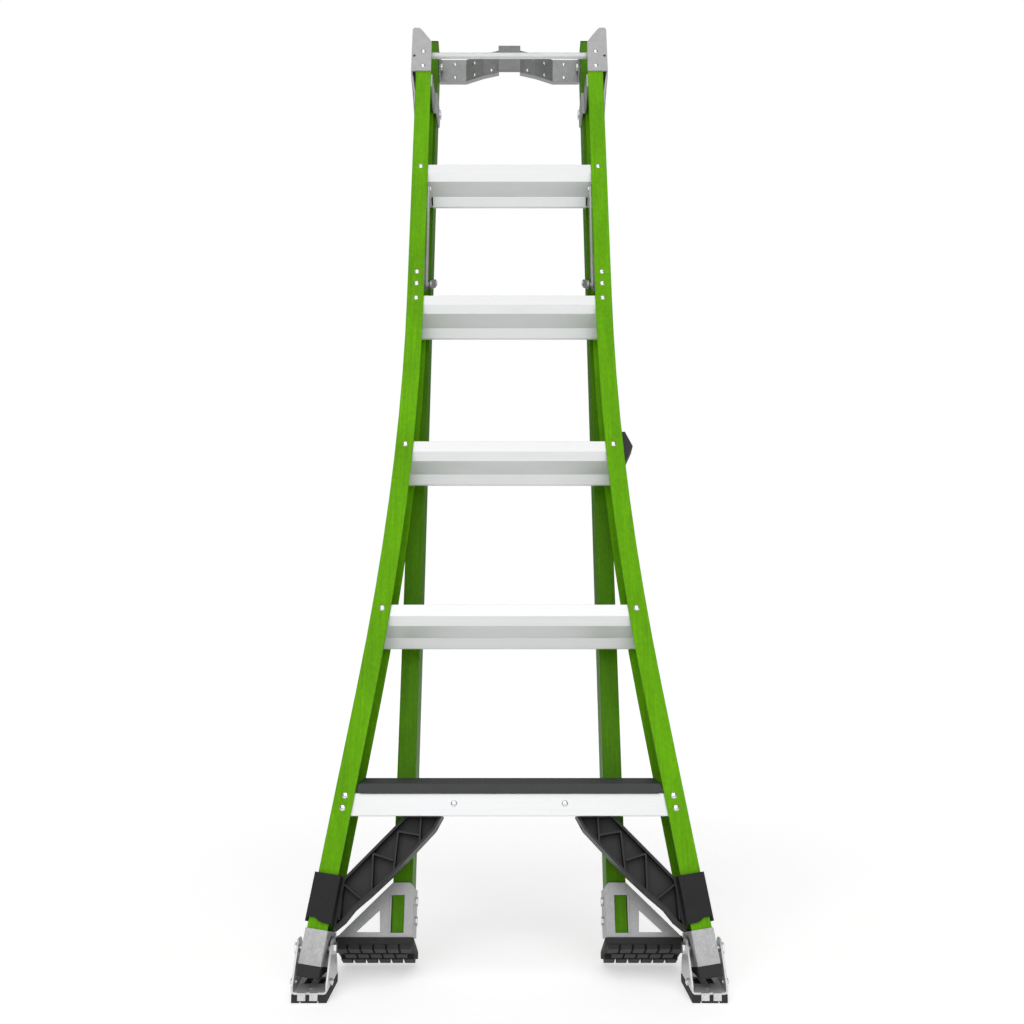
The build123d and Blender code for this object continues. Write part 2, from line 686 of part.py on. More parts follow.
def rear_bracket():
    y0 = REAR_FRONT - FOOT_PLATE - FIT
    inner = REAR_INNER - FOOT_PLATE - FIT
    outline = [
        (inner, FOOT_LOW),
        (inner, FOOT_HIGH - 6),
        (inner + 6, FOOT_HIGH),
        (REAR_OUTER, FOOT_HIGH),
        (FOOT_TIP, FOOT_LOW),
    ]
    face = front_plate(outline, y0, y0 + FOOT_PLATE)
    # window through the gusset, and the slot over the rail
    window = [(244, FOOT_LOW + 8), (207.5, FOOT_LOW + 41), (206, FOOT_LOW + 8)]
    face -= front_plate(window, y0 - 1, y0 + FOOT_PLATE + 1)
    face -= block(168.6, 189, y0 - 1, y0 + FOOT_PLATE + 1, FOOT_LOW + 7, FOOT_LOW + 64)
    # rolled lip along the outer edge of the slot
    face += block(189, 192, y0 - 2, y0 + 18, FOOT_LOW + 7, FOOT_LOW + 64)
    # sloping side wall folded back from the gusset's edge
    run = FOOT_TIP - REAR_OUTER
    rise = FOOT_HIGH - FOOT_LOW
    nx = FOOT_PLATE * rise / math.hypot(run, rise)
    nz = FOOT_PLATE * run / math.hypot(run, rise)
    wall = [
        (REAR_OUTER + 4, FOOT_HIGH - 4),
        (FOOT_TIP, FOOT_LOW),
        (FOOT_TIP - nx - 2, FOOT_LOW - nz + 3),
        (REAR_OUTER + 4 - nx, FOOT_HIGH - 4 - nz),
    ]
    face += front_plate(wall, y0, REAR_FRONT + 60)
    # wall along the inner face of the rail
    face += block(inner, inner + FOOT_PLATE, y0, REAR_BACK, FOOT_LOW, FOOT_HIGH - 8)
    # sole plate
    plate = block(inner, FOOT_TIP, 0, FOOT_LENGTH, 0, FOOT_PLATE)
    return face + sole(plate)


def rear_pad():
    x0 = REAR_INNER - FOOT_PLATE - 2
    x1 = FOOT_TIP + 4
    base = block(x0, x1, -3, FOOT_LENGTH + 2, -FOOT_PAD, -FIT)
    base = fillet(base.edges().filter_by(Axis.Z), 6)
    row = (FOOT_LENGTH + 2) / PAD_ROWS
    column = (x1 - x0 - 4) / PAD_COLUMNS
    low = -FOOT_PAD - FOOT_BLOCK
    half_gap = PAD_COLUMN_GAP / 2
    for i in range(PAD_ROWS):
        y = -1 + i * row
        offset = i % 2
        for j in range(PAD_COLUMNS - offset):
            x = x0 + 2 + (j + offset / 2) * column
            x_right = x + column - half_gap
            base += block(x + half_gap, x_right, y, y + row - PAD_ROW_GAP, low, 1 - FOOT_PAD)
    return sole(base)


pair("rear_foot_bracket", rear_bracket())
pair("rear_foot_pad", rear_pad())

foot_bolts = []
for z in (FOOT_LOW + 26, FOOT_LOW + 56):
    x = REAR_INNER - FOOT_PLATE - 2 * FIT
    bolt = bolt_x(4, x, REAR_INNER + REAR_WALL + FIT, REAR_FRONT + 40, z)
    foot_bolts += both(bolt)
    hole = group(both(rod_x(4 + FIT, 150, 170, REAR_FRONT + 40, z)))
    for side in ("right", "left"):
        pieces["rear_rail_" + side] -= hole
        pieces["rear_foot_bracket_" + side] -= hole
pieces["rear_foot_bolts"] = group(foot_bolts)


# --------------------------------------------------------------- folding stays
def stay_link(a, b, x0):
    """A flat link between pivots a and b, each (y, z)."""
    turn = math.degrees(math.atan2(b[0] - a[0], b[1] - a[1]))
    length = math.hypot(b[0] - a[0], b[1] - a[1])
    body = Box(STAY_THICK, STAY_WIDTH, length)
    body = Pos(0, 0, length / 2) * body
    for z in (0, length):
        body += Pos(0, 0, z) * Rot(0, 90, 0) * Cylinder(STAY_WIDTH / 2, STAY_THICK)
    # pressed channel along the link
    body -= Pos(-STAY_THICK / 2, 0, length / 2) * Box(2.4, STAY_WIDTH - 8, max(length - 36, 8))
    return Pos(x0 + STAY_THICK / 2, a[0], a[1]) * Rot(-turn, 0, 0) * body


top_pivot = (STAY_TOP_Y, STAY_TOP_Z)
rear_pivot = (HINGE_Y, STAY_REAR_Z)
front_link = stay_link(top_pivot, STAY_ELBOW, STAY_X)
front_link -= rod_x(STAY_PIN + RUN, STAY_X - 1, STAY_X + STAY_THICK + 1, *top_pivot)
pair("stay_front_link", front_link + rod_x(5, STAY_X - 2, STAY_X, *STAY_ELBOW))

REAR_LINK_X = STAY_X - STAY_THICK - 4
rear_link = stay_link(rear_pivot, STAY_ELBOW, REAR_LINK_X)
rear_link -= rod_x(STAY_PIN + RUN, REAR_LINK_X - 1, REAR_INNER, *rear_pivot)
pair("stay_rear_link", rear_link)

EAR_X = STAY_X + STAY_THICK + 0.5


def stay_bracket():
    """Angle inside the front rail that carries the front link's upper end."""
    y0 = RAIL_WALL + FIT
    z0, z1 = STAY_TOP_Z - 14, STAY_TOP_Z + 8
    body = block(EAR_X, EAR_X + 18, y0, y0 + PLATE, z0, z1)
    body += block(EAR_X, EAR_X + PLATE, y0, STAY_TOP_Y + 6, z0, z1)
    return body - rod_x(STAY_PIN + RUN, EAR_X - 1, EAR_X + PLATE + 1, *top_pivot)


def stay_keeper():
    """Riveted angle that the folded stay rests against."""
    x0 = EAR_X
    y0 = RAIL_WALL + FIT
    z0, z1 = STAY_RIVETS[0] - 12, STAY_RIVETS[1] + 48
    body = block(x0, x0 + 22, y0, y0 + PLATE, z0, z1)
    body += block(x0, x0 + PLATE, y0, STAY_ELBOW[0] + 6, z0 + 20, z1)
    for x, z in rail_rivets():
        if z in STAY_RIVETS:
            body -= rod_y(RIVET_SHANK + FIT, 0, 20, x, z)
    return body


pieces["stay_brackets"] = group(both(stay_bracket()) + both(stay_keeper()))

x_in = STAY_X - FIT
pin = rod_x(STAY_PIN, x_in - 1, EAR_X + PLATE + 2, *top_pivot)
pin += rod_x(STAY_PIN + 2, x_in - 2, x_in, *top_pivot)
pieces["stay_front_pins"] = group(both(pin))
x_in = REAR_LINK_X - FIT
pin = rod_x(STAY_PIN, x_in - 1, REAR_INNER + REAR_WALL + 3, *rear_pivot)
pin += rod_x(STAY_PIN + 2, x_in - 2, x_in, *rear_pivot)
pin += rod_x(STAY_PIN + 3, REAR_LINK_X + STAY_THICK + 0.3, REAR_INNER - FIT, *rear_pivot)
pieces["stay_rear_pins"] = group(both(pin))


# ------------------------------------------------- lower end of the front rails
def box_around(wall, s0, s1, gap):
    """A square tube round the right rail between two distances from its end."""
    x0, x1 = -RAIL_FLANGE - gap, gap
    y0, y1 = -gap, RAIL_DEPTH + gap
    body = block(x0 - wall, x1 + wall, y0 - wall, y1 + wall, s0, s1)
    return body - block(x0, x1, y0, y1, s0 - 1, s1 + 1)


def sleeve():
    body = box_around(SLEEVE_WALL, SLEEVE_FROM, SLEEVE_TO, FIT)
    x0 = -RAIL_FLANGE - FIT - SLEEVE_WALL
    # the lower edge dips across the front
    dip = [
        (x0 - 1, SLEEVE_FROM - 1),
        (x0 - 1, SLEEVE_FROM + 0.5),
        (x0 + 14, SLEEVE_FROM + 1),
        (x0 + 20, SLEEVE_FROM + 3),
        (x0 + 26, SLEEVE_FROM + 7),
        (x0 + 37, SLEEVE_FROM + 7),
        (x0 + 37, SLEEVE_FROM - 1),
    ]
    body -= front_plate(dip, -SLEEVE_WALL - 1, 1)
    return along_foot(body)


def rail_cap():
    body = box_around(CAP_WALL, 0, CAP_HEIGHT, FIT)
    body = fillet(body.edges().filter_by(Axis.Z).group_by(Axis.X)[0], 1.2)
    body = along_foot(body)
    return body - rod_x(BOLT_RADIUS + FIT, 200, 400, *SHOE_PIVOT)


def rail_plug():
    gap = CAP_WALL + FIT
    x0, x1 = -RAIL_FLANGE - gap, gap
    outline = [
        (-gap, -FIT),
        (-gap, 2 - END_PLUG),
        (4 - gap, -END_PLUG),
        (RAIL_DEPTH + gap, -END_PLUG_BACK),
        (RAIL_DEPTH + gap, -FIT),
    ]
    body = side_plate(outline, x0, x1)
    spigot = block(
        -RAIL_FLANGE + 1,
        -RAIL_WALL - FIT,
        RAIL_WALL + FIT,
        RAIL_DEPTH - RAIL_WALL - FIT,
        -1,
        CAP_HEIGHT - 12,
    )
    return along_foot(body + spigot) - rod_x(BOLT_RADIUS + FIT, 200, 400, *SHOE_PIVOT)


SHOE_PIVOT = (RAIL_DEPTH / 2, PIVOT_Z)


def knee_brace():
    """Ribbed moulding from the sleeve up to the beam of the bottom step."""
    top = APRON_LOW + 3.5
    inner = -RAIL_FLANGE - FIT - SLEEVE_WALL - FIT
    upper = along_foot(Pos(inner, 0, SLEEVE_TO - 3) * Vertex(0, 0, 0)).center()
    lower = along_foot(Pos(inner, 0, SLEEVE_FROM - 8) * Vertex(0, 0, 0)).center()
    outline = [
        (upper.X, upper.Z),
        (168, top - 4),
        (164, top),
        (106, top),
        (118, top - 22),
        (180, 199),
        (217, 165),
        (241, 145),
        (256, 126),
        (lower.X, lower.Z),
    ]
    body = front_plate(outline, BRACE_FRONT, BRACE_BACK)
    face = make_face(Polyline(*[(x, 0, z) for x, z in outline], close=True))
    core = offset(face, amount=-BRACE_RIM, kind=Kind.INTERSECTION)
    middle = (BRACE_FRONT + BRACE_BACK) / 2
    pocket = extrude(core, amount=100, dir=(0, 1, 0))
    front = Pos(0, BRACE_FRONT - 100 + (middle - 2.5 - BRACE_FRONT), 0) * pocket
    back = Pos(0, middle + 2.5, 0) * pocket
    body -= front + back
    solid = front_plate(outline, BRACE_FRONT, BRACE_BACK)
    for a, b in BRACE_RIBS:
        body += rib_bar(a, b) & solid
    return body


# zigzag of ribs across the brace, ends in (x, z)
BRACE_RIBS = (
    ((262, 186), (225, 158)),
    ((262, 130), (258, 200)),
    ((214, 228), (214, 160)),
    ((214, 228), (182, 218)),
    ((176, 262), (182, 190)),
    ((176, 262), (140, 256)),
    ((140, 300), (142, 230)),
)


def rib_bar(a, b):
    dx, dz = b[0] - a[0], b[1] - a[1]
    length = math.hypot(dx, dz)
    nx, nz = -dz / length * 1.5, dx / length * 1.5
    outline = [
        (a[0] + nx, a[1] + nz),
        (b[0] + nx, b[1] + nz),
        (b[0] - nx, b[1] - nz),
        (a[0] - nx, a[1] - nz),
    ]
    return front_plate(outline, BRACE_FRONT + 2, BRACE_BACK - 2)


pair("rail_sleeve", sleeve())
pair("rail_cap", rail_cap())
pieces["rail_plugs"] = group(both(rail_plug()))
pair("knee_brace", knee_brace())

BRACE_BOLTS = (120.0, 150.0)
brace_bolts = []
for x in BRACE_BOLTS:
    y = (BRACE_FRONT + BRACE_BACK) / 2 + 8
    z = APRON_LOW + 3.5
    screw = rod_z(3, x, y, z - BRACE_RIM - 3, z + 4.5)
    screw += rod_z(5.5, x, y, z - BRACE_RIM - 4.5, z - BRACE_RIM - FIT)
    brace_bolts += both(screw)
    hole = group(both(rod_z(3 + FIT, x, y, z - 20, z + 12)))
    seat = group(both(rod_z(6.5, x, y, z - 20, z - BRACE_RIM)))
    pieces["knee_brace_right"] -= seat
    pieces["knee_brace_left"] -= seat
    pieces["knee_brace_right"] -= hole
    pieces["knee_brace_left"] -= hole
    pieces["bottom_beam"] -= hole
pieces["brace_screws"] = group(brace_bolts)

for side in ("right", "left"):
    pieces["front_rail_" + side] -= group(both(rod_x(BOLT_RADIUS + FIT, 200, 400, *SHOE_PIVOT)))


# --------------------------------------------------------------- swivel shoes
pivot_y, pivot_z = SHOE_PIVOT
pivot_height = pivot_z * math.cos(lean) - pivot_y * math.sin(lean)
SHOE_DROP = pivot_height - GROUND


def shoe(part):
    """Set a piece drawn level round the shoe's pivot."""
    return level(part, *SHOE_PIVOT)


def shoe_frame():
    """Bent steel channel with a swivel ear each side of the rail's end."""
    x0, x1 = SHOE_INNER, SHOE_OUTER + SHOE_PLATE
    top = -SHOE_DROP + SHOE_PAD + SHOE_PLATE
    half = SHOE_HALF_LENGTH
    side = [
        (-half, top - SHOE_PLATE),
        (-half, top + 9),
        (-17, 8),
        (-9, 15),
        (9, 15),
        (17, 8),
        (half - 14, top + 16),
        (half - 14, top),
        (half, top),
        (half, top - SHOE_PLATE),
    ]
    outside = block(x0, x1, -half, half, top - SHOE_PLATE, 20)
    low_edges = outside.edges().filter_by(Axis.Y).group_by(Axis.Z)[0]
    outside = fillet(low_edges, SHOE_BEND + SHOE_PLATE)
    inside = block(x0 + SHOE_PLATE, x1 - SHOE_PLATE, -half - 1, half + 1, top, 21)
    low_edges = inside.edges().filter_by(Axis.Y).group_by(Axis.Z)[0]
    inside = fillet(low_edges, SHOE_BEND)
    body = (outside - inside) & side_plate(side, x0, x1)
    # two tabs turned down over the front of the pad
    for x in (x0 + 14, x0 + 32):
        body += block(x, x + 12, -half - SHOE_PLATE, -half, top - 11, top)
    body -= rod_z(4, (x0 + x1) / 2, -half + 18, top - 9, top + 1)
    body -= block(x0 + 12, x0 + 22, -10, 25, top - 9, top + 1)
    body -= block(x1 - 22, x1 - 12, -10, 25, top - 9, top + 1)
    body -= rod_x(BOLT_RADIUS + RUN, x0 - 1, x1 + 1, 0, 0)
    for x in (x0, x1 - SHOE_PLATE):
        body -= rod_x(3 + FIT, x - 1, x + SHOE_PLATE + 1, -32, top + 9)
    return shoe(body)


def shoe_pad():
    x0, x1 = SHOE_INNER + 1, SHOE_OUTER + SHOE_PLATE - 1
    half = SHOE_HALF_LENGTH - FIT
    pad = block(x0, x1, -half, half, -SHOE_DROP, -SHOE_DROP + SHOE_PAD)
    for i in range(1, 7):
        y = -half + i * 2 * half / 7
        pad -= block(x0 - 1, x1 + 1, y - 1.2, y + 1.2, -SHOE_DROP - 1, -SHOE_DROP + 3)
    for x in (x0 + 12, x1 - 14):
        pad -= block(x, x + 2.5, -half - 1, half + 1, -SHOE_DROP - 1, -SHOE_DROP + 3)
    return shoe(pad)


def shoe_bolt():
    x0 = SHOE_INNER - FIT
    x1 = SHOE_OUTER + SHOE_PLATE + FIT
    return bolt_x(BOLT_RADIUS, x0, x1, *SHOE_PIVOT)


pair("shoe_frame", shoe_frame())
pair("shoe_pad", shoe_pad())
pieces["shoe_pivot_bolts"] = group(both(shoe_bolt()))

for side, sign in (("right", 1), ("left", -1)):
    studs = []
    top = -SHOE_DROP + SHOE_PAD + SHOE_PLATE
    for face, out in ((SHOE_INNER, -1), (SHOE_OUTER + SHOE_PLATE, 1)):
        stud = rod_x(3, face - out * (SHOE_PLATE + 2), face + out * 5, -32, top + 9)
        nut = extrude(RegularPolygon(5.5, 6), amount=4)
        stud += Pos(face + out * FIT, -32, top + 9) * Rot(0, 90 * out, 0) * nut
        studs.append(shoe(stud))
    whole = group(studs)
    pieces["shoe_studs_" + side] = whole if sign > 0 else mirror(whole, about=Plane.YZ)


# ------------------------------------------------------------------ wall rest
def rest(part):
    """Set a piece drawn level round the wall rest's swivel axis."""
    return level(part, REST_Y, REST_Z)


REST_LOW = -27.0
REST_HIGH = REST_LOW + REST_HEIGHT
REST_END = REAR_INNER - 0.8
# front face of the bent panel in plan, from the middle out
REST_LINE = ((22, -29), (57, -14), (97, 11), (REST_END, 11))


def rest_panel():
    """Bent sheet that widens backwards into a notch, with stiffening flanges."""
    line = list(REST_LINE)
    front = [(-x, y) for x, y in reversed(line)] + line
    back = [(x, y + REST_SHEET) for x, y in front]
    deep = [(x, y + REST_FLANGE) for x, y in front]
    skin = plan_plate(front + back[::-1], REST_LOW, REST_HIGH)
    skin += plan_plate(front + deep[::-1], REST_LOW, REST_LOW + REST_SHEET)
    skin += plan_plate(front + deep[::-1], REST_HIGH - REST_SHEET, REST_HIGH)
    for x in (-REST_END, REST_END - REST_SHEET):
        ear = block(x, x + REST_SHEET, -14, 26, REST_LOW, REST_HIGH)
        skin += ear
    for x in (-REST_END - 1, REST_END - REST_SHEET - 1):
        skin -= rod_x(REST_PIN + FIT, x, x + REST_SHEET + 2, 0, 0)
    # the lower edge is cut away behind the middle block
    skin -= block(-REST_GAP, REST_GAP, -50, 30, REST_LOW - 1, REST_LOW + REST_RELIEF)
    holes = [rest_spot(rod_y(REST_RIVET + FIT, -3, 9, 0, 0), x, z) for x, z in REST_RIVETS]
    for hole in holes:
        skin -= group(both(hole))
    return rest(skin)


REST_RIVETS = ((122, -18.5), (122, 12.5), (79, -18.5), (79, 9.5), (41, -18.5))
REST_RIVET = 2.4


def rest_spot(part, x, z):
    """Set a piece drawn at the origin square on the front of the panel."""
    for (xa, ya), (xb, yb) in zip(REST_LINE, REST_LINE[1:]):
        if xa <= x <= xb:
            slope = math.degrees(math.atan2(yb - ya, xb - xa))
            return Pos(x, ya + (yb - ya) * (x - xa) / (xb - xa), z) * Rot(0, 0, slope) * part


def rest_rivet(x, z):
    head = scale(Sphere(4), (1, 0.5, 1)) & block(-9, 9, -9, 0, -9, 9)
    return rest_spot(head + rod_y(REST_RIVET, 0, REST_SHEET + 1, 0, 0), x, z)


block_body = block(-24, 24, -40, -29 - FIT, REST_LOW, REST_HIGH + 5)
block_body -= block(-21, 21, -37, -28, REST_LOW + REST_SHEET, REST_HIGH + 6)
pieces["wall_rest_panel"] = rest_panel()
pieces["wall_rest_block"] = rest(block_body)
rest_rivets = [rest(r) for x, z in REST_RIVETS for r in both(rest_rivet(x, z))]
pieces["wall_rest_rivets"] = group(rest_rivets)

pin = rod_x(REST_PIN, REST_END - REST_SHEET - 1, REAR_INNER + REAR_WALL + 1, REST_Y, REST_Z)
pin += rod_x(REST_PIN + 3, REST_END - REST_SHEET - 4, REST_END - REST_SHEET, REST_Y, REST_Z)
pieces["wall_rest_pins"] = group(both(pin))


# -------------------------------------------------------------- transport clip
CLIP_Z = 937.0
CLIP_STUD_Y = REAR_FRONT + 20.0
STUD_RADIUS = 5.0


def transport_clip():
    """Spring jaw on the right rail that snaps over a stud on the rear rail."""
    x0 = half_width(CLIP_Z - 32) + 0.2
    wedge = [
        (x0, CLIP_Z - 29),
        (x0 + 6, CLIP_Z - 29),
        (x0 + 19, CLIP_Z),
        (x0 + 6, CLIP_Z + 29),
        (x0, CLIP_Z + 29),
    ]
    body = front_plate(wedge, 30, 62)
    arm = block(x0, x0 + 5, 60, CLIP_STUD_Y + 10, CLIP_Z - 14, CLIP_Z + 14)
    gap = STUD_RADIUS + 0.4
    arm -= block(x0 - 1, x0 + 6, CLIP_STUD_Y, CLIP_STUD_Y + 20, CLIP_Z - gap, CLIP_Z + gap)
    arm -= rod_x(gap, x0 - 1, x0 + 6, CLIP_STUD_Y, CLIP_Z)
    return body + arm


clip_x = half_width(CLIP_Z - 32) + 5.2
pieces["transport_clip"] = transport_clip()
stud = rod_x(STUD_RADIUS, REAR_INNER + REAR_WALL, clip_x + 2, CLIP_STUD_Y, CLIP_Z)
stud += rod_x(STUD_RADIUS + 4, REAR_INNER + REAR_WALL, REAR_INNER + REAR_WALL + 4, CLIP_STUD_Y, CLIP_Z)
pieces["clip_stud"] = stud


# ---------------------------------------------------- lean, centre and write out
leaned = {name: Rot(-LEAN, 0, 0) * part for name, part in pieces.items()}
box = Compound([s for part in leaned.values() for s in part.solids()]).bounding_box()
middle = Pos(-(box.min.X + box.max.X) / 2, -(box.min.Y + box.max.Y) / 2, -box.min.Z)
print("shift", middle.position)

os.makedirs("parts", exist_ok=True)
for name, part in leaned.items():
    export_step(middle * part, f"parts/{name}.step")
print(len(leaned), "nodes")
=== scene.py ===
import math

import bmesh
import bpy
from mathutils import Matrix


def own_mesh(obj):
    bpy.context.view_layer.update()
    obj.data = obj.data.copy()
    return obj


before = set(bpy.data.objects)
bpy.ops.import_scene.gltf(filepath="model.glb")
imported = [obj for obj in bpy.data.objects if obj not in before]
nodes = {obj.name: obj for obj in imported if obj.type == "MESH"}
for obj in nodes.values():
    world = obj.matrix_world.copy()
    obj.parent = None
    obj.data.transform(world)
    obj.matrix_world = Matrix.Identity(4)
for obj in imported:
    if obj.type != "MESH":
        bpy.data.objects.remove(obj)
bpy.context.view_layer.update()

# ---------------------------------------------------------------------------
# Front and rear rails. Pultruded fibreglass channels, coloured right through:
# long glass rovings run up each rail under a thin random veil of resin.
# ---------------------------------------------------------------------------
LEAN = math.radians(15)
UNTURNED = (0, 0, 0)


def surface(name, colour, roughness, metallic=0.0):
    """A material with its shader and the piece's own coordinates."""
    material = bpy.data.materials.new(name)
    material.use_nodes = True
    tree = material.node_tree
    shader = tree.nodes["Principled BSDF"]
    shader.inputs["Base Color"].default_value = (*colour, 1)
    shader.inputs["Roughness"].default_value = roughness
    shader.inputs["Metallic"].default_value = metallic
    coordinates = tree.nodes.new("ShaderNodeTexCoord")
    return material, tree, shader, coordinates.outputs["Object"]


def grain(tree, place, scale, turn, detail, rough=0.55):
    """Noise whose cells per metre along each axis are given by scale."""
    mapping = tree.nodes.new("ShaderNodeMapping")
    mapping.vector_type = "TEXTURE"
    mapping.inputs["Rotation"].default_value = turn
    tree.links.new(place, mapping.inputs["Vector"])
    stretch = tree.nodes.new("ShaderNodeMapping")
    stretch.inputs["Scale"].default_value = scale
    tree.links.new(mapping.outputs["Vector"], stretch.inputs["Vector"])
    noise = tree.nodes.new("ShaderNodeTexNoise")
    noise.inputs["Scale"].default_value = 1.0
    noise.inputs["Detail"].default_value = detail
    noise.inputs["Roughness"].default_value = rough
    tree.links.new(stretch.outputs["Vector"], noise.inputs["Vector"])
    return noise.outputs["Fac"]


def ramp(tree, factor, stops):
    """A colour for each height of a pattern."""
    node = tree.nodes.new("ShaderNodeValToRGB")
    node.color_ramp.elements[0].position = stops[0][0]
    node.color_ramp.elements[0].color = (*stops[0][1], 1)
    node.color_ramp.elements[1].position = stops[-1][0]
    node.color_ramp.elements[1].color = (*stops[-1][1], 1)
    for position, colour in stops[1:-1]:
        node.color_ramp.elements.new(position).color = (*colour, 1)
    tree.links.new(factor, node.inputs["Fac"])
    return node.outputs["Color"]


def span(tree, factor, low, high):
    """A pattern rescaled to run from low to high."""
    node = tree.nodes.new("ShaderNodeMapRange")
    node.inputs["From Min"].default_value = 0.3
    node.inputs["From Max"].default_value = 0.7
    node.inputs["To Min"].default_value = low
    node.inputs["To Max"].default_value = high
    tree.links.new(factor, node.inputs["Value"])
    return node.outputs["Result"]


def relief(tree, shader, height, depth, strength, edge):
    """Bumps as deep as depth in metres, over edges rounded to the radius edge."""
    bump = tree.nodes.new("ShaderNodeBump")
    bump.inputs["Distance"].default_value = depth
    bump.inputs["Strength"].default_value = strength
    tree.links.new(height, bump.inputs["Height"])
    rounding = tree.nodes.new("ShaderNodeBevel")
    rounding.samples = 4
    rounding.inputs["Radius"].default_value = edge
    tree.links.new(rounding.outputs["Normal"], bump.inputs["Normal"])
    tree.links.new(bump.outputs["Normal"], shader.inputs["Normal"])


def joined(tree, one, other, share):
    """Two patterns laid over each other."""
    node = tree.nodes.new("ShaderNodeMix")
    node.data_type = "FLOAT"
    node.inputs[0].default_value = share
    tree.links.new(one, node.inputs[2])
    tree.links.new(other, node.inputs[3])
    return node.outputs[0]


def give(material, *names):
    """Gives CAD nodes their finish."""
    for name in names:
        node = nodes[name]
        node.data.materials.clear()
        node.data.materials.append(material)


def fibreglass(name, depth):
    """Green laminate; depth below 1 darkens it as painted shade."""
    material, tree, shader, place = surface(name, (0.1 * depth, 0.33 * depth, 0.003), 0.5)
    rovings = grain(tree, place, (300, 300, 8), (-LEAN, 0, 0), 5.0, 0.6)
    veil = grain(tree, place, (190, 190, 120), (-LEAN, 0, 0), 6.0, 0.7)
    blotches = grain(tree, place, (16, 16, 8), (-LEAN, 0, 0), 3.0)
    glass = joined(tree, rovings, veil, 0.5)
    weave = joined(tree, glass, blotches, 0.3)
    shades = [(0.38, 0.78), (0.5, 1.0), (0.62, 1.25)]
    greens = []
    for spot, tone in shades:
        greens.append((spot, (0.118 * depth * tone, 0.36 * depth * tone, 0.001 * tone)))
    tree.links.new(ramp(tree, weave, greens), shader.inputs["Base Color"])
    tree.links.new(span(tree, glass, 0.42, 0.58), shader.inputs["Roughness"])
    shader.inputs["Specular IOR Level"].default_value = 0.08
    relief(tree, shader, glass, 0.0003, 0.45, 0.0012)
    return material


give(fibreglass("green_fibreglass", 1.0), "front_rail_left", "front_rail_right")
# The rear rails take a darker copy of the same laminate: painted shade for the weaker light
# they get behind the front rails and steps.
give(fibreglass("green_fibreglass_painted_shade", 0.54), "rear_rail_left", "rear_rail_right")

# ---------------------------------------------------------------------------
# Steps, rungs and the apron. Extruded aluminium, satin from the die, with the
# fine lines of the die along each length and a few paler rubbed places.
# ---------------------------------------------------------------------------
extrusion, tree, shader, place = surface("satin_aluminium", (0.7, 0.705, 0.71), 0.36, 0.42)
die_lines = grain(tree, place, (3, 900, 900), UNTURNED, 3.0)
rubbed = grain(tree, place, (9, 30, 30), UNTURNED, 4.0)
lines = joined(tree, die_lines, rubbed, 0.5)
shades = [(0.3, (0.66, 0.665, 0.67)), (0.5, (0.7, 0.705, 0.71)), (0.7, (0.74, 0.74, 0.745))]
greys = ramp(tree, lines, shades)
tree.links.new(greys, shader.inputs["Base Color"])
tree.links.new(span(tree, lines, 0.34, 0.46), shader.inputs["Roughness"])
relief(tree, shader, die_lines, 0.00005, 0.12, 0.0007)
shader.inputs["Anisotropic"].default_value = 0.3
give(extrusion, "step_2", "step_3", "step_4", "step_5", "bottom_apron", "bottom_beam")
give(extrusion, "rear_rung_2", "rear_rung_3", "rear_rung_4", "rear_rung_5")
give(extrusion, "top_rung", "step_end_fittings")

# ---------------------------------------------------------------------------
# Brackets, stays, rail caps, shoes and the wall rest. Pressed and zinc plated
# steel sheet: a cool grey with the faint cloudy mottle of the plating.
# ---------------------------------------------------------------------------


def zinc(name, dark, middle, light, rough_low, rough_high, mottle=70):
    """Zinc plated sheet between two greys."""
    material, tree, shader, place = surface(name, (middle,) * 3, 0.45, 0.45)
    clouds = grain(tree, place, (mottle,) * 3, UNTURNED, 6.0, 0.65)
    scuffs = grain(tree, place, (900, 900, 240), (-LEAN, 0, 0), 4.0, 0.6)
    mix = joined(tree, clouds, scuffs, 0.6)
    cool_dark = (dark, dark, dark * 1.02)
    cool_middle = (middle, middle, middle * 1.015)
    tint = ramp(tree, mix, [(0.34, cool_dark), (0.5, cool_middle), (0.66, (light,) * 3)])
    tree.links.new(tint, shader.inputs["Base Color"])
    tree.links.new(span(tree, mix, rough_low, rough_high), shader.inputs["Roughness"])
    relief(tree, shader, mix, 0.00012, 0.5, 0.0008)
    return material


sheet_steel = zinc("plated_sheet", 0.30, 0.36, 0.43, 0.36, 0.5)
give(sheet_steel, "top_bracket_left", "top_bracket_right", "stay_brackets")
give(sheet_steel, "hinge_strap_left", "hinge_strap_right")
give(sheet_steel, "stay_front_link_left", "stay_front_link_right")
give(sheet_steel, "stay_rear_link_left", "stay_rear_link_right")
give(sheet_steel, "rear_foot_bracket_left", "rear_foot_bracket_right")
give(zinc("wall_rest_sheet", 0.22, 0.28, 0.35, 0.32, 0.46), "wall_rest_panel")
give(zinc("rest_block_sheet", 0.15, 0.19, 0.24, 0.34, 0.48), "wall_rest_block")
FINE_MOTTLE = 110
cap_steel = zinc("shoe_steel", 0.30, 0.40, 0.52, 0.26, 0.42, FINE_MOTTLE)
give(cap_steel, "rail_cap_left", "rail_cap_right")
# The shoe frames take a paler copy of the shoe steel: painted light, lifting them out of the
# shade they sit in low down by the floor.
frame_steel = zinc("shoe_frame_painted_light", 0.52, 0.66, 0.8, 0.3, 0.46, FINE_MOTTLE)
give(frame_steel, "shoe_frame_left", "shoe_frame_right")

